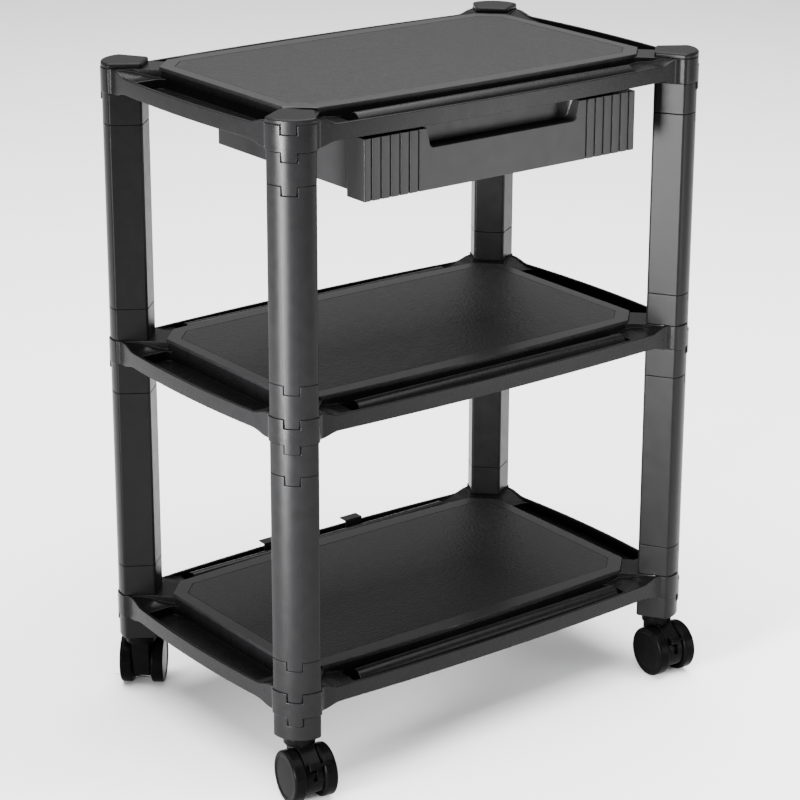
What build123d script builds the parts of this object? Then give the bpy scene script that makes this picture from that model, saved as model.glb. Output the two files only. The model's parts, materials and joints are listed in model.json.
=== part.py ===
"""Mobile printer stand: three plastic shelves on four stacked corner columns, a drawer, four casters.

Millimetres, +Z up. The origin is on the floor under the middle of the stand, and the drawer opens
towards -Y. The column pieces and the casters are each drawn once, at the origin, and placed at the
four corners.
"""
import os
from math import cos, radians, sin

from build123d import *

os.makedirs("parts", exist_ok=True)

# ---------------------------------------------------------------- driving dimensions
DECK_LOW = 110.0  # top face of the bottom deck
SHELF_PITCH = 265.5
DECKS = {
    "bottom": DECK_LOW,
    "middle": DECK_LOW + SHELF_PITCH,
    "top": DECK_LOW + 2 * SHELF_PITCH,
}

# Corner columns: local X points outwards along the diagonal, from the inner flat's centre.
COLUMN_X = 208.8
COLUMN_Y = 123.5
INNER_HALF = 15.4
OUTER_HALF = 22.3
OUTER_AT = 29.7
OUTER_BULGE = 11.0
COLUMN_WALL = 2.6
COLUMN_CENTRE = 20.0  # caster axis, along local X
SOCKET_PROUD = 1.2
SEAM = 0.3
TAB_WIDTH = 14.6
TAB_DROP = 8.4
SPIGOT_LENGTH = 11.0
CORNERS = {
    "front_left": Location((-COLUMN_X, -COLUMN_Y, 0), (0, 0, -135)),
    "front_right": Location((COLUMN_X, -COLUMN_Y, 0), (0, 0, -45)),
    "rear_left": Location((-COLUMN_X, COLUMN_Y, 0), (0, 0, 135)),
    "rear_right": Location((COLUMN_X, COLUMN_Y, 0), (0, 0, 45)),
}

# Heights on one shelf, from its deck's top face.
SOCKET_TOP = -2.4
SOCKET_BOTTOM = -26.2
SLEEVE_ABOVE = 29.0
SLEEVE_BELOW = -56.0
FOOT_BOTTOM = -49.5
CAP_TOP = 2.6
RIM_TOP = -7.0
RIM_BOTTOM = -22.0
TRAY_FLOOR = -19.4
FLARE_LOW = -10.0  # where the deep stretch of a tray or trough meets the slope up to a socket

# Shelf plan
RIM_HALF_X = 249.5
RIM_HALF_Y = 161.0
RIM_END_X = 212.0  # where the rims run into a socket
RIM_END_Y = 128.0
RIM_BOW = 7.0
RIM_WALL = 3.2
RIM_RISE_X = (188.0, 208.0)  # over these stretches a rim deepens into a socket
RIM_RISE_Y = (100.0, 122.0)
NOOK_RADIUS = 6.0
TROUGH_DEEP = 167.0  # half length of the deep stretch
TRAY_DEEP = 94.0
RECESS_CORNER = 7.0
WEB_REACH = 60.0
WEB_WIDTH = 36.0
PANEL_HALF_X = 207.5
PANEL_HALF_Y = 122.0
PANEL_BOW = 5.0
PANEL_CUT = 22.5
PANEL_THICK = 3.2
PANEL_GAP = 0.3
MAT_HALF_X = 195.0
MAT_HALF_Y = 108.5
MAT_CUT = 16.2
MAT_BOW = 1.5
MAT_INSET = 1.2
MAT_GROOVE = 0.5
RIB = 2.4
BAR_HALF_LENGTH = 160.0
BAR_Y = 140.0
BAR_HALF_WIDTH = 10.0
BAR_TOP = -4.0

# Drawer, heights from the top deck
DRAWER_HALF_X = 150.0
DRAWER_REAR = 92.0
DRAWER_FRONT_BACK = -126.0
DRAWER_TOP = -26.0
DRAWER_BOTTOM = -80.0
DRAWER_WALL = 2.4
FRONT_HALF_X = 158.0
FRONT_FACE = -152.5
FRONT_TOP = -26.0
FRONT_BOTTOM = -83.0
FRONT_WALL = 2.8
SCOOP_HALF_TOP = 90.0
SCOOP_HALF_BOTTOM = 85.0
SCOOP_DEPTH = 18.5
SCOOP_REACH = 17.0
GROOVES = 6
GROOVE_FIRST = 98.0
GROOVE_PITCH = 10.4
GROOVE_WIDTH = 1.8
GROOVE_DEPTH = 3.2  # half of it is in the front
FLANGE = 5.6
FLANGE_TOP = -27.0
FLANGE_THICK = 2.4
RAIL_FRONT = -121.0
RAIL_REAR = 100.0
RAIL_WALL = 2.4
RAIL_OUTER = 172.0
RAIL_LOW = -32.4
SCREW_X = 166.0
SCREW_YS = (-57.0, 0.0, 57.0)
SCREW_HEIGHT = -60.0  # drawer front screws
SCREW_RADIUS = 1.75
SCREW_HEAD_RADIUS = 3.6
FRONT_SCREW_X = 120.0

# Casters
WHEEL_RADIUS = 25.0
WHEEL_WIDTH = 12.6
WHEEL_GAP = 18.4  # between the two wheels
TRAIL = 14.0
HOOD_WIDTH = 17.2
HOOD_RADIUS = 21.4
AXLE_RADIUS = 3.0
STEM_RADIUS = 5.5
CASTER_TOP = DECK_LOW + FOOT_BOTTOM  # underside of a foot
NECK_RADIUS = 15.0
NECK_BASE = 51.0
HOOD_BASE = 12.5
COLLAR_THICK = 2.0
LEVER_WIDTH = 11.0
LEVER_INNER = 22.8
LEVER_OUTER = 25.0
LEVER_ANGLES = (29.0, 39.0, 49.0)
TAB_ANGLES = (34.0, 40.0)
TAB_RISE = 2.4
LEVER_PIN_RADIUS = 1.5
LEVER_PIN_REACH = 18.0
LEVER_PIN_ANGLE = 38.0
RUNNING_GAP = 0.05
CASTER_TURN = {"front_left": -10.0, "front_right": -6.0, "rear_left": 140.0, "rear_right": 169.8}
BRAKED = ("front_left", "front_right")


def column_section(grow=0.0):
    """Plan of a column piece at the origin, grown by a distance all round."""
    with BuildSketch(mode=Mode.PRIVATE) as section:
        with BuildLine():
            Polyline((OUTER_AT, -OUTER_HALF), (0, -INNER_HALF), (0, INNER_HALF), (OUTER_AT, OUTER_HALF))
            ThreePointArc((OUTER_AT, OUTER_HALF), (OUTER_AT + OUTER_BULGE, 0), (OUTER_AT, -OUTER_HALF))
        make_face()
        fillet(section.vertices(), 3.0)
        if grow:
            offset(amount=grow)
    return section.sketch


def column_piece(low, high, proud=0.0, tab=True, notch=True, spigot=True):
    """One hollow stacked piece: a tab and a spigot at its foot, a notch for the next tab at its top."""
    drop = TAB_DROP if tab else 0.0
    with BuildPart() as piece:
        with BuildSketch(Plane.XY.offset(low - drop)):
            add(column_section(proud))
            add(column_section(-COLUMN_WALL), mode=Mode.SUBTRACT)
        extrude(amount=high - SEAM - low + drop)
        if tab:
            with BuildSketch(Plane.XY.offset(low - drop)):
                Rectangle(140, 140)
                with Locations((OUTER_AT + 10, 0)):
                    Rectangle(30, TAB_WIDTH, mode=Mode.SUBTRACT)
            extrude(amount=drop, mode=Mode.SUBTRACT)
            fillet(piece.edges().filter_by(Axis.X).group_by(Axis.Z)[0], 1.5)
        if notch:
            with Locations((OUTER_AT + 10, 0, high - TAB_DROP - SEAM)):
                Box(30, TAB_WIDTH + 2 * SEAM, 3 * TAB_DROP, align=(Align.CENTER, Align.CENTER, Align.MIN),
                    mode=Mode.SUBTRACT)
        if spigot:
            with BuildSketch(Plane.XY.offset(low - SPIGOT_LENGTH)):
                add(column_section(-COLUMN_WALL - 0.2))
                add(column_section(-2 * COLUMN_WALL), mode=Mode.SUBTRACT)
            extrude(amount=SPIGOT_LENGTH)
            with BuildSketch(Plane.XY.offset(low)):
                add(column_section(-0.5))
                add(column_section(-2 * COLUMN_WALL), mode=Mode.SUBTRACT)
            extrude(amount=2.0)
    return piece.part


def octagon(half_x, half_y, cut, bow, grow=0.0):
    """Deck outline: an octagon with 45 degree corners whose front and rear edges bow outwards."""
    with BuildSketch(mode=Mode.PRIVATE) as outline:
        with BuildLine():
            Polyline((half_x - cut, -half_y), (half_x, -half_y + cut), (half_x, half_y - cut),
                     (half_x - cut, half_y))
            ThreePointArc((half_x - cut, half_y), (0, half_y + bow), (cut - half_x, half_y))
            Polyline((cut - half_x, half_y), (-half_x, half_y - cut), (-half_x, cut - half_y),
                     (cut - half_x, -half_y))
            ThreePointArc((cut - half_x, -half_y), (0, -half_y - bow), (half_x - cut, -half_y))
        make_face()
        if grow:
            offset(amount=grow)
    return outline.sketch


def rim_outline(inset=0.0):
    """Shelf outline between the sockets: four gently bowed sides and diagonal corners."""
    x_mid, y_mid = RIM_HALF_X, RIM_HALF_Y
    x_end, y_end = RIM_HALF_X - RIM_BOW, RIM_HALF_Y - RIM_BOW
    with BuildSketch(mode=Mode.PRIVATE) as outline:
        with BuildLine():
            ThreePointArc((-RIM_END_X, -y_end), (0, -y_mid), (RIM_END_X, -y_end))
            Line((RIM_END_X, -y_end), (x_end, -RIM_END_Y))
            ThreePointArc((x_end, -RIM_END_Y), (x_mid, 0), (x_end, RIM_END_Y))
            Line((x_end, RIM_END_Y), (RIM_END_X, y_end))
            ThreePointArc((RIM_END_X, y_end), (0, y_mid), (-RIM_END_X, y_end))
            Line((-RIM_END_X, y_end), (-x_end, RIM_END_Y))
            ThreePointArc((-x_end, RIM_END_Y), (-x_mid, 0), (-x_end, -RIM_END_Y))
            Line((-x_end, -RIM_END_Y), (-RIM_END_X, -y_end))
        make_face()
        if inset:
            offset(amount=-inset)
    return outline.sketch


def at_corners(shape):
    """Place a shape at the four columns, adding it to the part that is being built."""
    with Locations(*CORNERS.values()):
        add(shape)


# ---------------------------------------------------------------- shelf frame, drawn with its deck at z = 0
def recess_plan():
    """Plan of the trays and troughs round the deck: leaf shapes that run out to points at the sockets."""
    with BuildSketch(mode=Mode.PRIVATE) as plan:
        add(rim_outline(RIM_WALL))
        add(octagon(PANEL_HALF_X, PANEL_HALF_Y, PANEL_CUT, PANEL_BOW), mode=Mode.SUBTRACT)
        with Locations(*CORNERS.values()):
            Rectangle(WEB_REACH, WEB_WIDTH, mode=Mode.SUBTRACT)
            add(column_section(SOCKET_PROUD), mode=Mode.SUBTRACT)
    return plan.sketch


def deep_plan():
    """Plan of the deep middle stretch of each tray and trough, with rounded corners."""
    with BuildSketch(mode=Mode.PRIVATE) as plan:
        add(recess_plan())
        with GridLocations(2 * RIM_HALF_X, 2 * RIM_HALF_Y, 2, 2):
            Rectangle(2 * (RIM_HALF_X - TROUGH_DEEP), 2 * (RIM_HALF_Y - TRAY_DEEP), mode=Mode.SUBTRACT)
        fillet(plan.vertices(), RECESS_CORNER)
    return plan.sketch


def elevation_cut(half_mid, half_end, level, end_level, away):
    """Elevation of what is cut away beyond a rim's edge: level, with an S-curve to the sockets."""
    with BuildSketch(mode=Mode.PRIVATE) as cut:
        with BuildLine():
            Line((-half_mid, level), (half_mid, level))
            Spline((half_mid, level), (half_end, end_level), tangents=((1, 0), (1, 0)))
            Polyline((half_end, end_level), (half_end, away), (-half_end, away), (-half_end, end_level))
            Spline((-half_end, end_level), (-half_mid, level), tangents=((1, 0), (1, 0)))
        make_face()
    return cut.sketch


with BuildPart() as shelf_frame:
    # Rim and tray block joined to the four sockets, with the inside corners between them rounded
    with BuildSketch(Plane.XY.offset(SOCKET_BOTTOM)):
        add(rim_outline())
        at_corners(column_section(SOCKET_PROUD))
    extrude(amount=SOCKET_TOP - SOCKET_BOTTOM)
    uprights = shelf_frame.edges().filter_by(Axis.Z)
    front_nooks = uprights.filter_by(lambda e: abs(e.center().X) < 211.5 and abs(e.center().Y) < 157)
    side_nooks = uprights.filter_by(lambda e: abs(e.center().X) > 236 and abs(e.center().Y) < 126.6)
    fillet(front_nooks + side_nooks, NOOK_RADIUS)
    # Rims are shallower than the sockets, above and below
    for plane, mid, end in ((Plane.XZ, *RIM_RISE_X), (Plane.YZ, *RIM_RISE_Y)):
        with BuildSketch(plane):
            add(elevation_cut(mid, end, RIM_TOP, SOCKET_TOP, 10))
            add(elevation_cut(mid, end, RIM_BOTTOM, SOCKET_BOTTOM, -40))
        extrude(amount=260, both=True, mode=Mode.SUBTRACT)
    # Raised deck with a web out to each socket
    with BuildSketch(Plane.XY.offset(RIM_BOTTOM)):
        add(octagon(PANEL_HALF_X, PANEL_HALF_Y, PANEL_CUT, PANEL_BOW))
    extrude(amount=-RIM_BOTTOM)
    with BuildSketch(Plane.XY.offset(RIM_BOTTOM)):
        with Locations(*CORNERS.values()):
            Rectangle(WEB_REACH, WEB_WIDTH)
    extrude(amount=SOCKET_TOP - RIM_BOTTOM)
    # Trays at the sides and troughs front and rear: they slope down from the sockets, then drop to a floor
    for plane, mid, end in ((Plane.XZ, TROUGH_DEEP, RIM_END_X), (Plane.YZ, TRAY_DEEP, RIM_END_Y)):
        with BuildPart(mode=Mode.SUBTRACT):
            with BuildSketch(Plane.XY.offset(TRAY_FLOOR)):
                add(recess_plan())
            extrude(amount=40)
            with BuildSketch(plane):
                add(elevation_cut(mid, end, FLARE_LOW, SOCKET_TOP - 0.6, 30))
            extrude(amount=260, both=True, mode=Mode.INTERSECT)
    with BuildSketch(Plane.XY.offset(TRAY_FLOOR)):
        add(deep_plan())
    extrude(amount=FLARE_LOW - TRAY_FLOOR, mode=Mode.SUBTRACT)
    # A half-round bar along each trough
    with BuildSketch(Plane.YZ):
        with Locations((-BAR_Y, TRAY_FLOOR), (BAR_Y, TRAY_FLOOR)):
            Ellipse(BAR_HALF_WIDTH, BAR_TOP - TRAY_FLOOR)
        with Locations((0, TRAY_FLOOR)):
            Rectangle(400, 60, align=(Align.CENTER, Align.MAX), mode=Mode.SUBTRACT)
    extrude(amount=BAR_HALF_LENGTH, both=True)
    # Seat for the deck panel
    with BuildSketch(Plane.XY.offset(-PANEL_THICK)):
        add(octagon(PANEL_HALF_X, PANEL_HALF_Y, PANEL_CUT, PANEL_BOW, PANEL_GAP))
    extrude(amount=20, mode=Mode.SUBTRACT)
    # Ribbed underside
    with BuildSketch(Plane.XY.offset(RIM_BOTTOM)):
        with GridLocations(66, 57, 6, 4):
            Rectangle(66 - RIB, 57 - RIB)
    extrude(amount=-RIM_BOTTOM - PANEL_THICK - 3.0, mode=Mode.SUBTRACT)
    # Bosses for the drawer runners' screws
    with Locations(*[(x, y, RIM_BOTTOM) for x in (-SCREW_X, SCREW_X) for y in SCREW_YS]):
        Cylinder(4.2, 16.0, align=(Align.CENTER, Align.CENTER, Align.MIN))
        Cylinder(SCREW_RADIUS, 11.0, align=(Align.CENTER, Align.CENTER, Align.MIN), mode=Mode.SUBTRACT)
    # Sockets
    with BuildSketch(Plane.XY.offset(-40)):
        at_corners(column_section(SOCKET_PROUD))
    extrude(amount=80, mode=Mode.SUBTRACT)
    at_corners(column_piece(SOCKET_BOTTOM, SOCKET_TOP + SEAM, proud=SOCKET_PROUD))

# ---------------------------------------------------------------- deck panel and its textured mat
with BuildPart() as deck_panel:
    with BuildSketch(Plane.XY.offset(-PANEL_THICK)):
        add(octagon(PANEL_HALF_X, PANEL_HALF_Y, PANEL_CUT, PANEL_BOW))
    extrude(amount=PANEL_THICK)
    fillet(deck_panel.faces().sort_by(Axis.Z)[-1].edges(), 0.6)
    with BuildSketch(Plane.XY.offset(-MAT_INSET)):
        add(octagon(MAT_HALF_X, MAT_HALF_Y, MAT_CUT, MAT_BOW, MAT_GROOVE))
    extrude(amount=20, mode=Mode.SUBTRACT)

with BuildPart() as deck_mat:
    with BuildSketch(Plane.XY.offset(-MAT_INSET)):
        add(octagon(MAT_HALF_X, MAT_HALF_Y, MAT_CUT, MAT_BOW))
    extrude(amount=MAT_INSET)


# ---------------------------------------------------------------- column pieces
deck_low, deck_mid, deck_top = DECKS["bottom"], DECKS["middle"], DECKS["top"]
upper_tube = column_piece(deck_mid + SLEEVE_ABOVE, deck_top + SLEEVE_BELOW)
lower_tube = column_piece(deck_low + SLEEVE_ABOVE, deck_mid + SLEEVE_BELOW)
sleeve_above = column_piece(SOCKET_TOP, SLEEVE_ABOVE)
sleeve_below = column_piece(SLEEVE_BELOW, SOCKET_BOTTOM)

# The foot is closed underneath and bored for the caster's stem.
with BuildPart() as foot:
    add(column_piece(deck_low + FOOT_BOTTOM, deck_low + SOCKET_BOTTOM, tab=False, spigot=False))
    with BuildSketch(Plane.XY.offset(deck_low + FOOT_BOTTOM)):
        add(column_section(-1.0))
    extrude(amount=3.0)
    with Locations((COLUMN_CENTRE, 0, deck_low + FOOT_BOTTOM)):
        Cylinder(STEM_RADIUS + 3.0, 12.0, align=(Align.CENTER, Align.CENTER, Align.MIN))
        Cylinder(STEM_RADIUS, 40.0, mode=Mode.SUBTRACT)
    fillet(foot.faces().sort_by(Axis.Z)[0].outer_wire().edges(), 1.5)

# The cap is a shallow lid with a rounded edge, a tab into its socket and a plug inside it.
with BuildPart() as cap:
    add(column_piece(deck_top + SOCKET_TOP, deck_top + CAP_TOP, proud=0.6, notch=False))
    with BuildSketch(Plane.XY.offset(deck_top + SOCKET_TOP + 0.6)):
        add(column_section(0.6))
    extrude(amount=CAP_TOP - SOCKET_TOP - 0.6)
    fillet(cap.faces().sort_by(Axis.Z)[-1].edges(), 2.2)


# ---------------------------------------------------------------- drawer
def drawer_block(half_x, y_low, y_high, z_low, z_high):
    """A plain block under the top deck, given by its sides and its heights below the deck."""
    with Locations((0, y_low, deck_top + z_low)):
        Box(2 * half_x, y_high - y_low, z_high - z_low, align=(Align.CENTER, Align.MIN, Align.MIN))


DRAWER_DEPTH = DRAWER_REAR - DRAWER_FRONT_BACK
DRAWER_MIDDLE = (DRAWER_REAR + DRAWER_FRONT_BACK) / 2
screw_ends = [
    Location((x, DRAWER_FRONT_BACK, deck_top + SCREW_HEIGHT), (90, 0, 0))
    for x in (-FRONT_SCREW_X, FRONT_SCREW_X)
]

with BuildPart() as drawer_box:
    with BuildSketch(Plane.XY.offset(deck_top + DRAWER_BOTTOM)):
        with Locations((0, DRAWER_MIDDLE)):
            Rectangle(2 * DRAWER_HALF_X, DRAWER_DEPTH)
    extrude(amount=DRAWER_TOP - DRAWER_BOTTOM)
    fillet(drawer_box.edges().filter_by(Axis.Z).group_by(Axis.Y)[-1], 3.0)
    offset(amount=-DRAWER_WALL, openings=drawer_box.faces().sort_by(Axis.Z)[-1], kind=Kind.INTERSECTION)
    # Side flanges hang on the runners
    with Locations((0, DRAWER_FRONT_BACK + 6, deck_top + FLANGE_TOP)):
        Box(2 * (DRAWER_HALF_X + FLANGE), DRAWER_DEPTH - 12, FLANGE_THICK,
            align=(Align.CENTER, Align.MIN, Align.MAX))
        Box(2 * DRAWER_HALF_X - 1, DRAWER_DEPTH - 12, FLANGE_THICK,
            align=(Align.CENTER, Align.MIN, Align.MAX), mode=Mode.SUBTRACT)
    # Holes for the screws that hold the front
    with Locations(*screw_ends):
        Cylinder(SCREW_RADIUS + 0.1, 3 * DRAWER_WALL, mode=Mode.SUBTRACT)

# The front is a hollow box. Its finger scoop is round-ended in plan and tapers a little in front view.
def scoop(grow=0.0, over=0.0):
    """The scoop's hollow, or with a growth the outside of its walls."""
    top = deck_top + FRONT_TOP
    base = top - SCOOP_DEPTH - grow
    with BuildPart() as hollow:
        with BuildSketch(Plane.XZ.offset(-FRONT_FACE)):
            with BuildLine():
                half_top, half_base = SCOOP_HALF_TOP + grow, SCOOP_HALF_BOTTOM + grow
                Polyline((-half_top, top + over), (-half_base, base), (half_base, base), (half_top, top + over),
                         close=True)
            make_face()
        extrude(amount=-SCOOP_REACH - grow)
        fillet(hollow.edges().filter_by(Axis.Y).group_by(Axis.Z)[0], 5.0 + grow)
        with BuildSketch(Plane.XY.offset(base)) as plan:
            with Locations((0, FRONT_FACE + SCOOP_REACH + grow)):
                Rectangle(2 * half_top, 60, align=(Align.CENTER, Align.MAX))
            fillet(plan.vertices().group_by(Axis.Y)[-1], 13.0 + grow)
        extrude(amount=SCOOP_DEPTH + grow + over, mode=Mode.INTERSECT)
    return hollow.part


with BuildPart() as drawer_front:
    drawer_block(FRONT_HALF_X, FRONT_FACE, DRAWER_FRONT_BACK, FRONT_BOTTOM, FRONT_TOP)
    fillet(drawer_front.edges().filter_by(Axis.Z).group_by(Axis.Y)[0], 1.2)
    inside_low, inside_high = FRONT_BOTTOM + FRONT_WALL, FRONT_TOP - FRONT_WALL
    with Locations((0, FRONT_FACE + FRONT_WALL, deck_top + inside_low)):
        Box(2 * (FRONT_HALF_X - FRONT_WALL), 60, inside_high - inside_low,
            align=(Align.CENTER, Align.MIN, Align.MIN), mode=Mode.SUBTRACT)
    add(scoop(grow=FRONT_WALL))
    add(scoop(over=5.0), mode=Mode.SUBTRACT)
    # Upright grooves at each end
    for column in range(GROOVES):
        groove_x = GROOVE_FIRST + column * GROOVE_PITCH
        with Locations(*[(x, FRONT_FACE, deck_top + FRONT_BOTTOM) for x in (-groove_x, groove_x)]):
            Box(GROOVE_WIDTH, GROOVE_DEPTH, 80, align=(Align.CENTER, Align.CENTER, Align.MIN),
                mode=Mode.SUBTRACT)
    # Bosses for the screws from inside the drawer
    front_depth = DRAWER_FRONT_BACK - FRONT_FACE - FRONT_WALL
    with Locations(*screw_ends):
        Cylinder(4.0, front_depth + 0.5, align=(Align.CENTER, Align.CENTER, Align.MIN))
        Cylinder(SCREW_RADIUS, 12.0, align=(Align.CENTER, Align.CENTER, Align.MIN), mode=Mode.SUBTRACT)

with BuildPart() as drawer_front_screws:
    with Locations(*screw_ends):
        Cylinder(SCREW_RADIUS - 0.05, 10.0, align=(Align.CENTER, Align.CENTER, Align.MIN))
    with Locations(*[end * Location((0, 0, -DRAWER_WALL)) for end in screw_ends]):
        Cylinder(SCREW_RADIUS - 0.05, DRAWER_WALL, align=(Align.CENTER, Align.CENTER, Align.MIN))
        Cylinder(SCREW_HEAD_RADIUS, 2.2, align=(Align.CENTER, Align.CENTER, Align.MAX))

# Each runner is a C-shaped rail whose top plate is screwed under the shelf.
RAIL_SLOT = DRAWER_HALF_X + FLANGE + 0.6
with BuildPart() as runner_right:
    with BuildSketch(Plane.XZ.offset(-RAIL_FRONT)):
        with BuildLine():
            Polyline((DRAWER_HALF_X + 2, RIM_BOTTOM), (RAIL_OUTER, RIM_BOTTOM),
                     (RAIL_OUTER, RIM_BOTTOM - RAIL_WALL), (RAIL_SLOT + RAIL_WALL, RIM_BOTTOM - RAIL_WALL),
                     (RAIL_SLOT + RAIL_WALL, RAIL_LOW), (DRAWER_HALF_X + 1, RAIL_LOW),
                     (DRAWER_HALF_X + 1, RAIL_LOW + RAIL_WALL), (RAIL_SLOT, RAIL_LOW + RAIL_WALL),
                     (RAIL_SLOT, RIM_BOTTOM - RAIL_WALL), (DRAWER_HALF_X + 2, RIM_BOTTOM - RAIL_WALL),
                     close=True)
        make_face()
    extrude(amount=RAIL_FRONT - RAIL_REAR)
    with Locations((DRAWER_HALF_X + 1, RAIL_REAR, RAIL_LOW)):
        Box(RAIL_SLOT - DRAWER_HALF_X, RAIL_WALL, RIM_BOTTOM - RAIL_LOW, align=(Align.MIN, Align.MAX, Align.MIN))
    with Locations(*[(SCREW_X, y, RIM_BOTTOM) for y in SCREW_YS]):
        Cylinder(SCREW_RADIUS + 0.1, 10, mode=Mode.SUBTRACT)

with BuildPart() as runner_screws:
    with Locations(*[(x, y, RIM_BOTTOM - RAIL_WALL) for x in (-SCREW_X, SCREW_X) for y in SCREW_YS]):
        Cylinder(SCREW_RADIUS - 0.05, 11.0, align=(Align.CENTER, Align.CENTER, Align.MIN))
        Cylinder(SCREW_HEAD_RADIUS, 2.0, align=(Align.CENTER, Align.CENTER, Align.MAX))


# ---------------------------------------------------------------- caster, stem at the origin, trailing to -Y
def about_axle(reach, angle):
    """Point in YZ at a reach from the axle, at an angle above -Y."""
    return (-TRAIL - reach * cos(radians(angle)), WHEEL_RADIUS + reach * sin(radians(angle)))


LEVER_PIN = about_axle(LEVER_PIN_REACH, LEVER_PIN_ANGLE)
LEVER_HEEL = about_axle(LEVER_INNER, LEVER_PIN_ANGLE)
NECK_TOP = CASTER_TOP - COLLAR_THICK - 0.3
STEM_BASE = 36.0

with BuildPart() as caster_stem:
    with Locations((0, 0, STEM_BASE)):
        Cylinder(STEM_RADIUS, CASTER_TOP + 11.0 - STEM_BASE, align=(Align.CENTER, Align.CENTER, Align.MIN))
    with Locations((0, 0, CASTER_TOP)):
        Cylinder(10.0, COLLAR_THICK, align=(Align.CENTER, Align.CENTER, Align.MAX))
    chamfer(caster_stem.edges().group_by(Axis.Z)[-1], 1.0)


def caster_housing(braked):
    """Hood between the wheels and the neck round the stem, with a slot and holes for a brake lever."""
    with BuildPart() as housing:
        with BuildSketch(Plane.YZ):
            with Locations((-TRAIL, WHEEL_RADIUS)):
                Circle(HOOD_RADIUS)
            with Locations((-1, 46)):
                Rectangle(24, 12)
            make_hull()
        extrude(amount=HOOD_WIDTH / 2, both=True)
        fillet(housing.faces().filter_by(Axis.X).edges(), 1.2)
        with Locations((0, 0, HOOD_BASE)):
            Box(60, 100, 60, align=(Align.CENTER, Align.CENTER, Align.MAX), mode=Mode.SUBTRACT)
        with Locations((0, 0, NECK_TOP)):
            Cylinder(NECK_RADIUS, NECK_TOP - NECK_BASE, align=(Align.CENTER, Align.CENTER, Align.MAX))
        with Locations((0, 0, STEM_BASE - 0.3)):
            Cylinder(STEM_RADIUS + RUNNING_GAP, 60, align=(Align.CENTER, Align.CENTER, Align.MIN),
                     mode=Mode.SUBTRACT)
        with Locations(Location((0, -TRAIL, WHEEL_RADIUS), (0, 90, 0))):
            Cylinder(AXLE_RADIUS, 60, mode=Mode.SUBTRACT)
        with Locations((0, -TRAIL - HOOD_RADIUS, WHEEL_RADIUS + 4.5)):
            Box(4.0, 7.0, 8.0, mode=Mode.SUBTRACT)
        if braked:
            with BuildSketch(Plane.YZ):
                with Locations(LEVER_PIN, LEVER_HEEL):
                    Circle(4.6)
                make_hull()
            extrude(amount=2.4, both=True, mode=Mode.SUBTRACT)
            with Locations(Location((0, *LEVER_PIN), (0, 90, 0))):
                Cylinder(LEVER_PIN_RADIUS + RUNNING_GAP, HOOD_WIDTH + 2, mode=Mode.SUBTRACT)
    return housing.part


with BuildPart() as caster_axle:
    with Locations(Location((0, -TRAIL, WHEEL_RADIUS), (0, 90, 0))):
        Cylinder(AXLE_RADIUS, WHEEL_GAP + 2 * WHEEL_WIDTH - 5.0)
    chamfer(caster_axle.edges(), 0.5)

# Wheel turned from its half section: X is along the axle, Y is the radius.
with BuildPart() as wheel_right:
    inner_x, outer_x = WHEEL_GAP / 2, WHEEL_GAP / 2 + WHEEL_WIDTH
    bore = AXLE_RADIUS + RUNNING_GAP
    with BuildSketch() as wheel_section:
        with BuildLine():
            Polyline((inner_x, bore), (inner_x, 7), (inner_x + 5, 7), (inner_x + 5, 20.5), (inner_x, 20.5),
                     (inner_x, WHEEL_RADIUS), (outer_x, WHEEL_RADIUS), (outer_x, 20), (outer_x - 0.7, 19.2),
                     (outer_x - 0.2, 0), (outer_x - 2.3, 0), (outer_x - 2.3, bore), close=True)
        make_face()
        fillet(wheel_section.vertices().sort_by(Axis.Y)[-2:], 2.6)
    revolve(axis=Axis.X)
wheel_place = Location((0, -TRAIL, WHEEL_RADIUS))

# Brake lever: a curved plate over the hood, with a raised tab that reaches over one wheel, and trunnions.
with BuildPart() as brake_lever:
    with BuildSketch(Plane.YZ):
        with BuildLine():
            inner_edge = ThreePointArc(*[about_axle(LEVER_INNER, a) for a in LEVER_ANGLES])
            outer_edge = ThreePointArc(*[about_axle(LEVER_OUTER, a) for a in LEVER_ANGLES])
            Line(inner_edge @ 0, outer_edge @ 0)
            Line(inner_edge @ 1, outer_edge @ 1)
        make_face()
    extrude(amount=LEVER_WIDTH / 2, both=True)
    with BuildSketch(Plane.YZ):
        with Locations(LEVER_PIN, about_axle(LEVER_INNER + 0.6, LEVER_PIN_ANGLE)):
            Circle(2.6)
        make_hull()
    extrude(amount=1.9, both=True)
    with Locations(Location((0, *LEVER_PIN), (0, 90, 0))):
        Cylinder(LEVER_PIN_RADIUS, HOOD_WIDTH - 2.0)
    for base, start, length in ((LEVER_INNER + 1, -LEVER_WIDTH / 2, LEVER_WIDTH), (LEVER_OUTER + 0.9, 0, 15.0)):
        low_angle, high_angle = TAB_ANGLES
        tip = LEVER_OUTER + TAB_RISE
        with BuildSketch(Plane.YZ.offset(start)):
            with BuildLine():
                Polyline(about_axle(base, low_angle), about_axle(tip, low_angle), about_axle(tip, high_angle),
                         about_axle(base, high_angle), close=True)
            make_face()
        extrude(amount=length)

# Two cable clips stand in the rear trough of the bottom shelf and hook over its rim.
with BuildPart() as cable_clips:
    with BuildSketch(Plane.YZ):
        with BuildLine():
            Polyline((151.6, TRAY_FLOOR), (153.4, TRAY_FLOOR), (153.4, -2.4), (163.0, -2.4), (163.0, -0.8),
                     (151.6, -0.8), close=True)
        make_face()
    extrude(amount=10.5, both=True)


# ---------------------------------------------------------------- nodes
def save(name, shape, *places):
    """Write a node made of one solid at each place."""
    with BuildPart() as node:
        with Locations(*(places or [Location()])):
            add(shape)
    node.part.label = name
    export_step(node.part, f"parts/{name}.step")


for level, height in DECKS.items():
    save(f"{level}_shelf_frame", shelf_frame.part, Location((0, 0, height)))
    save(f"{level}_deck_panel", deck_panel.part, Location((0, 0, height)))
    save(f"{level}_deck_mat", deck_mat.part, Location((0, 0, height)))

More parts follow.
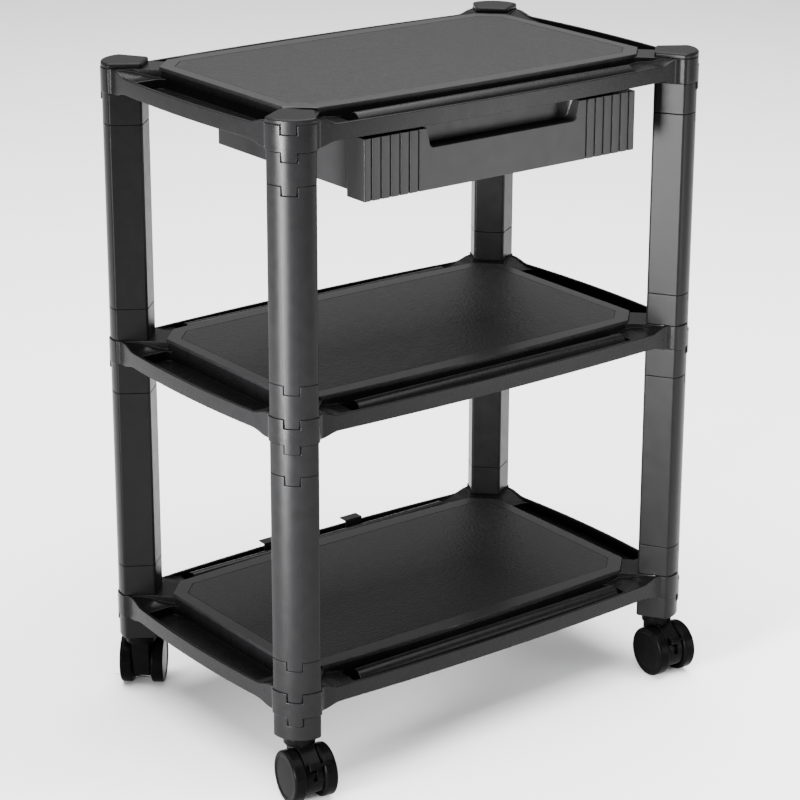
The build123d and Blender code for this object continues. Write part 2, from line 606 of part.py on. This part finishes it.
for corner, spot in CORNERS.items():
    save(f"cap_{corner}", cap.part, spot)
    save(f"upper_tube_{corner}", upper_tube, spot)
    save(f"lower_tube_{corner}", lower_tube, spot)
    save(f"foot_{corner}", foot.part, spot)

for name, shape, level in (
    ("sleeves_under_top", sleeve_below, "top"),
    ("sleeves_over_middle", sleeve_above, "middle"),
    ("sleeves_under_middle", sleeve_below, "middle"),
    ("sleeves_over_bottom", sleeve_above, "bottom"),
):
    save(name, shape, *[Location((0, 0, DECKS[level])) * spot for spot in CORNERS.values()])

at_top = Location((0, 0, deck_top))
save("drawer_box", drawer_box.part)
save("drawer_front", drawer_front.part)
save("drawer_front_screws", drawer_front_screws.part)
save("runner_right", runner_right.part, at_top)
save("runner_left", mirror(runner_right.part, about=Plane.YZ), at_top)
save("runner_screws", runner_screws.part, at_top)
save("cable_clips", cable_clips.part, *[Location((x, 0, deck_low)) for x in (-52.0, 52.0)])

wheel_left = mirror(wheel_right.part, about=Plane.YZ)
for corner, spot in CORNERS.items():
    centre = (spot * Location((COLUMN_CENTRE, 0, 0))).position
    here = Location((centre.X, centre.Y, 0), (0, 0, CASTER_TURN[corner]))
    save(f"caster_stem_{corner}", caster_stem.part, here)
    save(f"caster_housing_{corner}", caster_housing(corner in BRAKED), here)
    save(f"caster_axle_{corner}", caster_axle.part, here)
    save(f"wheel_left_{corner}", wheel_left, here * wheel_place)
    save(f"wheel_right_{corner}", wheel_right.part, here * wheel_place)
    if corner in BRAKED:
        save(f"brake_lever_{corner}", brake_lever.part, here)
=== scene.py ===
"""Looks of the mobile printer stand: satin black mouldings, textured decks, gloss casters, in a white studio.

Everything is in metres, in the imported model's frame: +Z up, the drawer opening towards -Y.
"""
import json
from math import pi, radians

import bmesh
import bpy
from mathutils import Matrix, Vector


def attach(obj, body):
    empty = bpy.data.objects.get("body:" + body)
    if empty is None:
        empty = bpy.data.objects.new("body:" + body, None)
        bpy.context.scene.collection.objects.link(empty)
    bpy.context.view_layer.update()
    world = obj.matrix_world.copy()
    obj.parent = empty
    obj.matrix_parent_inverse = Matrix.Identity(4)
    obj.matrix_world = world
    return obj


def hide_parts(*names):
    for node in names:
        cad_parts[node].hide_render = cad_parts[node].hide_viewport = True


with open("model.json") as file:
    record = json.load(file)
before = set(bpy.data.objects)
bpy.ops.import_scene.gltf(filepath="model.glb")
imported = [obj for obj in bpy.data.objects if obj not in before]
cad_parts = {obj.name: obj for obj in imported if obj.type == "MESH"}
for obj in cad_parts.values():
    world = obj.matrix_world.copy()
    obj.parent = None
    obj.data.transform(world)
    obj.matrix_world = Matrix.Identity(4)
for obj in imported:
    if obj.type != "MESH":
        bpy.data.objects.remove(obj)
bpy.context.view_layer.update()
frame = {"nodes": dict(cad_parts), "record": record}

MM = 0.001
NODES = frame["nodes"]
BODIES = frame["record"]["behaviour"]["bodies"]
BODY_OF = {node: body for body, members in BODIES.items() for node in members}
SLOT_OF = {part["node"]: part["material_slot"] for part in frame["record"]["subparts"]}


# ---------------------------------------------------------------- materials
# A noise texture's middle: below and above it the value stays at its low and its high end.
NOISE_LOW, NOISE_HIGH = 0.3, 0.7
# Scales in cycles to the metre: sink and flow marks, uneven colour and gloss, turning marks on steel.
WAVE_SCALE = 14
CLOUD_SCALE = 90
TURNING_SCALE = 300
TURNING_STRETCH = (1, 1, 30)
TURNING_DEPTH = 0.00002
# How far the shade (as a share) and the roughness go either way.
SHADE_SPREAD = 0.14
GLOSS_SPREAD = 0.03
STEEL_GLOSS_SPREAD = 0.08


def shader(name):
    """A new material with its node tree, its Principled shader and its object coordinates."""
    material = bpy.data.materials.new(name)
    material.use_nodes = True
    tree = material.node_tree
    surface = tree.nodes["Principled BSDF"]
    coordinates = tree.nodes.new("ShaderNodeTexCoord").outputs["Object"]
    return material, tree, surface, coordinates


def noise(tree, coordinates, scale, detail=3.0, roughness=0.5):
    """A noise texture's value, at a scale in cycles to the metre."""
    texture = tree.nodes.new("ShaderNodeTexNoise")
    texture.inputs["Scale"].default_value = scale
    texture.inputs["Detail"].default_value = detail
    texture.inputs["Roughness"].default_value = roughness
    tree.links.new(coordinates, texture.inputs["Vector"])
    return texture.outputs["Fac"]


def ranged(tree, value, low, high):
    """A noise value spread between two others."""
    spread = tree.nodes.new("ShaderNodeMapRange")
    spread.inputs["From Min"].default_value = NOISE_LOW
    spread.inputs["From Max"].default_value = NOISE_HIGH
    spread.inputs["To Min"].default_value = low
    spread.inputs["To Max"].default_value = high
    tree.links.new(value, spread.inputs["Value"])
    return spread.outputs["Result"]


def bump(tree, height, depth, normal=None):
    """A bump of a depth in metres, on top of another where one is given."""
    relief = tree.nodes.new("ShaderNodeBump")
    relief.inputs["Strength"].default_value = 1.0
    relief.inputs["Distance"].default_value = depth
    tree.links.new(height, relief.inputs["Height"])
    if normal is not None:
        tree.links.new(normal, relief.inputs["Normal"])
    return relief.outputs["Normal"]


def moulded(name, shade, roughness, specular, grain=2600, grain_depth=0.00003, wave_depth=0.00006):
    """Moulded plastic: grain, faint sink and flow marks, uneven colour and gloss. Depths are in metres."""
    material, tree, surface, coordinates = shader(name)
    fine = noise(tree, coordinates, grain, 2.0, 0.6)
    broad = noise(tree, coordinates, WAVE_SCALE, 2.0)
    cloud = noise(tree, coordinates, CLOUD_SCALE, 4.0, 0.6)
    colour = tree.nodes.new("ShaderNodeMix")
    colour.data_type = "RGBA"
    colour.inputs["A"].default_value = (*[c * (1 - SHADE_SPREAD) for c in shade], 1)
    colour.inputs["B"].default_value = (*[c * (1 + SHADE_SPREAD) for c in shade], 1)
    tree.links.new(ranged(tree, cloud, 0, 1), colour.inputs["Factor"])
    tree.links.new(colour.outputs["Result"], surface.inputs["Base Color"])
    gloss = ranged(tree, cloud, roughness - GLOSS_SPREAD, roughness + GLOSS_SPREAD)
    tree.links.new(gloss, surface.inputs["Roughness"])
    surface.inputs["Specular IOR Level"].default_value = specular
    wave = bump(tree, broad, wave_depth)
    tree.links.new(bump(tree, fine, grain_depth, wave), surface.inputs["Normal"])
    return material


def brushed(name, shade, roughness):
    """Zinc plated steel with fine turning marks."""
    material, tree, surface, coordinates = shader(name)
    stretch = tree.nodes.new("ShaderNodeMapping")
    stretch.inputs["Scale"].default_value = TURNING_STRETCH
    tree.links.new(coordinates, stretch.inputs["Vector"])
    marks = noise(tree, stretch.outputs["Vector"], TURNING_SCALE, 4.0)
    surface.inputs["Base Color"].default_value = (*shade, 1)
    surface.inputs["Metallic"].default_value = 1.0
    gloss = ranged(tree, marks, roughness - STEEL_GLOSS_SPREAD, roughness + STEEL_GLOSS_SPREAD)
    tree.links.new(gloss, surface.inputs["Roughness"])
    tree.links.new(bump(tree, marks, TURNING_DEPTH), surface.inputs["Normal"])
    return material


# Shades are linear.
SHELF_BLACK = (0.003, 0.003, 0.0032)
BORDER_BLACK = (0.007, 0.007, 0.0073)
MAT_BLACK = (0.0042, 0.0042, 0.0044)
COLUMN_BLACK = (0.0035, 0.0035, 0.0037)
DRAWER_BLACK = (0.0055, 0.0055, 0.0058)
NYLON_BLACK = (0.0015, 0.0015, 0.0016)
ZINC = (0.55, 0.55, 0.57)

FINISHES = {
    "shelf": moulded("shelf_satin", SHELF_BLACK, 0.28, 0.08),
    "deck": moulded("deck_border", BORDER_BLACK, 0.32, 0.24, grain=3200, grain_depth=0.00002),
    "mat": moulded("deck_mat", MAT_BLACK, 0.42, 0.17, grain=300, grain_depth=0.0007),
    "column": moulded("column_satin", COLUMN_BLACK, 0.33, 0.065, grain=2400, grain_depth=0.00004),
    "drawer": moulded("drawer_satin", DRAWER_BLACK, 0.36, 0.13),
    "caster": moulded("caster_nylon", NYLON_BLACK, 0.24, 0.02, grain=1800, grain_depth=0.00001),
    "wheel": moulded("wheel_nylon", NYLON_BLACK, 0.22, 0.012, grain=1800, grain_depth=0.00001),
    "steel": brushed("zinc_steel", ZINC, 0.35),
}


def finish_node(piece, slot):
    """The slot's finish, as a piece's only material."""
    piece.data.materials.clear()
    piece.data.materials.append(FINISHES[slot])


for name, node in NODES.items():
    finish_node(node, SLOT_OF[name])


# ---------------------------------------------------------------- moulded edges
# How round the edges are, in millimetres, by the start of the node's name. The screws' names start with those
# of the drawer front and the runners, so they are rounded too. Deck panels, stems and axles stay as they are.
EDGE_RADIUS = {
    "bottom_shelf_frame": 0.7,
    "middle_shelf_frame": 0.7,
    "top_shelf_frame": 0.7,
    "bottom_deck_mat": 0.3,
    "middle_deck_mat": 0.3,
    "top_deck_mat": 0.3,
    "cap": 0.8,
    "upper_tube": 0.6,
    "lower_tube": 0.6,
    "sleeves": 0.6,
    "foot": 0.6,
    "drawer_front": 0.6,
    "drawer_box": 0.5,
    "runner": 0.3,
    "cable_clips": 0.4,
    "caster_housing": 0.6,
    "brake_lever": 0.4,
    "wheel": 0.5,
}
ROUNDING_SEGMENTS = 2
SHARP_ANGLE = radians(32)  # edges sharper than this are rounded
FLAT_ANGLE = radians(0.6)  # faces flatter than this are joined
WELD = 0.02 * MM
LARGE_FACES_LEAD = 100


def radius_of(name):
    """A node's edge radius, or None where it has none."""
    return next((radius for start, radius in EDGE_RADIUS.items() if name.startswith(start)), None)


def soften(name, radius):
    """A copy of a CAD node with its sharp edges rounded, which stands for the node."""
    mesh = NODES[name].data.copy()
    mesh.name = name + "_soft"
    shape = bmesh.new()
    shape.from_mesh(mesh)
    bmesh.ops.remove_doubles(shape, verts=shape.verts, dist=WELD)
    bmesh.ops.dissolve_limit(shape, angle_limit=FLAT_ANGLE, verts=shape.verts, edges=shape.edges)
    for face in shape.faces:
        face.smooth = True
    shape.to_mesh(mesh)
    shape.free()
    piece = bpy.data.objects.new(name + "_soft", mesh)
    bpy.context.scene.collection.objects.link(piece)
    rounding = piece.modifiers.new("rounding", "BEVEL")
    rounding.width = radius * MM
    rounding.segments = ROUNDING_SEGMENTS
    rounding.limit_method = "ANGLE"
    rounding.angle_limit = SHARP_ANGLE
    rounding.use_clamp_overlap = False
    shading = piece.modifiers.new("shading", "WEIGHTED_NORMAL")
    shading.mode = "FACE_AREA"
    shading.weight = LARGE_FACES_LEAD
    finish_node(piece, SLOT_OF[name])
    bpy.context.view_layer.update()
    rounded = piece.evaluated_get(bpy.context.evaluated_depsgraph_get())
    shown = bpy.data.meshes.new_from_object(rounded)
    piece.modifiers.clear()
    piece.data = shown
    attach(piece, BODY_OF[name])
    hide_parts(name)


for name in NODES:
    if radius_of(name):
        soften(name, radius_of(name))


# ---------------------------------------------------------------- studio
FLOOR_SIZE = 14
FLOOR_SHADE = (0.92, 0.92, 0.92)
FLOOR_ROUGHNESS = 0.7
WORLD_STRENGTH = 0.55


def floor():
    bpy.ops.mesh.primitive_plane_add(size=FLOOR_SIZE, location=(0, 0, 0))
    plane = bpy.context.object
    plane.name = "floor"
    material, _, surface, _ = shader("pale_floor")
    surface.inputs["Base Color"].default_value = (*FLOOR_SHADE, 1)
    surface.inputs["Roughness"].default_value = FLOOR_ROUGHNESS
    plane.data.materials.append(material)


def area_light(name, place, aim, size, power, spread=180):
    """A rectangular light: metres, watts, and its beam's spread in degrees, narrow where it has a grid."""
    data = bpy.data.lights.new(name, "AREA")
    data.shape = "RECTANGLE"
    data.size, data.size_y = size
    data.energy = power
    data.spread = radians(spread)
    lamp = bpy.data.objects.new(name, data)
    lamp.location = place
    lamp.rotation_euler = (Vector(aim) - Vector(place)).to_track_quat("-Z", "Y").to_euler()
    bpy.context.scene.collection.objects.link(lamp)


def studio():
    world = bpy.data.worlds.new("studio")
    world.use_nodes = True
    background = world.node_tree.nodes["Background"]
    background.inputs["Color"].default_value = (1, 1, 1, 1)
    background.inputs["Strength"].default_value = WORLD_STRENGTH
    bpy.context.scene.world = world
    area_light("overhead", (0, 0, 3.0), (0, 0, 0), (4.0, 4.0), 560)
    area_light("left_softbox", (-1.1, -0.30, 0.37), (-0.22, -0.25, 0.38), (0.38, 0.68), 22, 50)
    area_light("front_fill", (0.8, -1.2, 0.32), (0, -0.15, 0.45), (0.5, 0.55), 11)


# A long lens from the front left, a little above.
CAMERA_AZIMUTH = radians(-37.42)
CAMERA_ELEVATION = radians(18.02)
CAMERA_ROLL = radians(0.18)
CAMERA_TARGET = Vector((-0.0363, -0.0524, 0.4007))
CAMERA_DISTANCE = 2.45
CAMERA_LENS = 116.3
CAMERA_SENSOR = 36.0
CAMERA_SHIFT = (-0.0065, -0.10)


def camera():
    """The camera, turned about the vertical, tipped up from looking straight down, then rolled."""
    data = bpy.data.cameras.new("camera")
    data.lens = CAMERA_LENS
    data.sensor_width = CAMERA_SENSOR
    data.shift_x, data.shift_y = CAMERA_SHIFT
    eye = bpy.data.objects.new("camera", data)
    around = Matrix.Rotation(CAMERA_AZIMUTH, 4, "Z")
    tip = Matrix.Rotation(pi / 2 - CAMERA_ELEVATION, 4, "X")
    turn = around @ tip @ Matrix.Rotation(CAMERA_ROLL, 4, "Z")
    back = turn @ Vector((0, 0, 1))
    eye.matrix_world = Matrix.Translation(CAMERA_TARGET + back * CAMERA_DISTANCE) @ turn
    bpy.context.scene.collection.objects.link(eye)
    bpy.context.scene.camera = eye


floor()
studio()
camera()
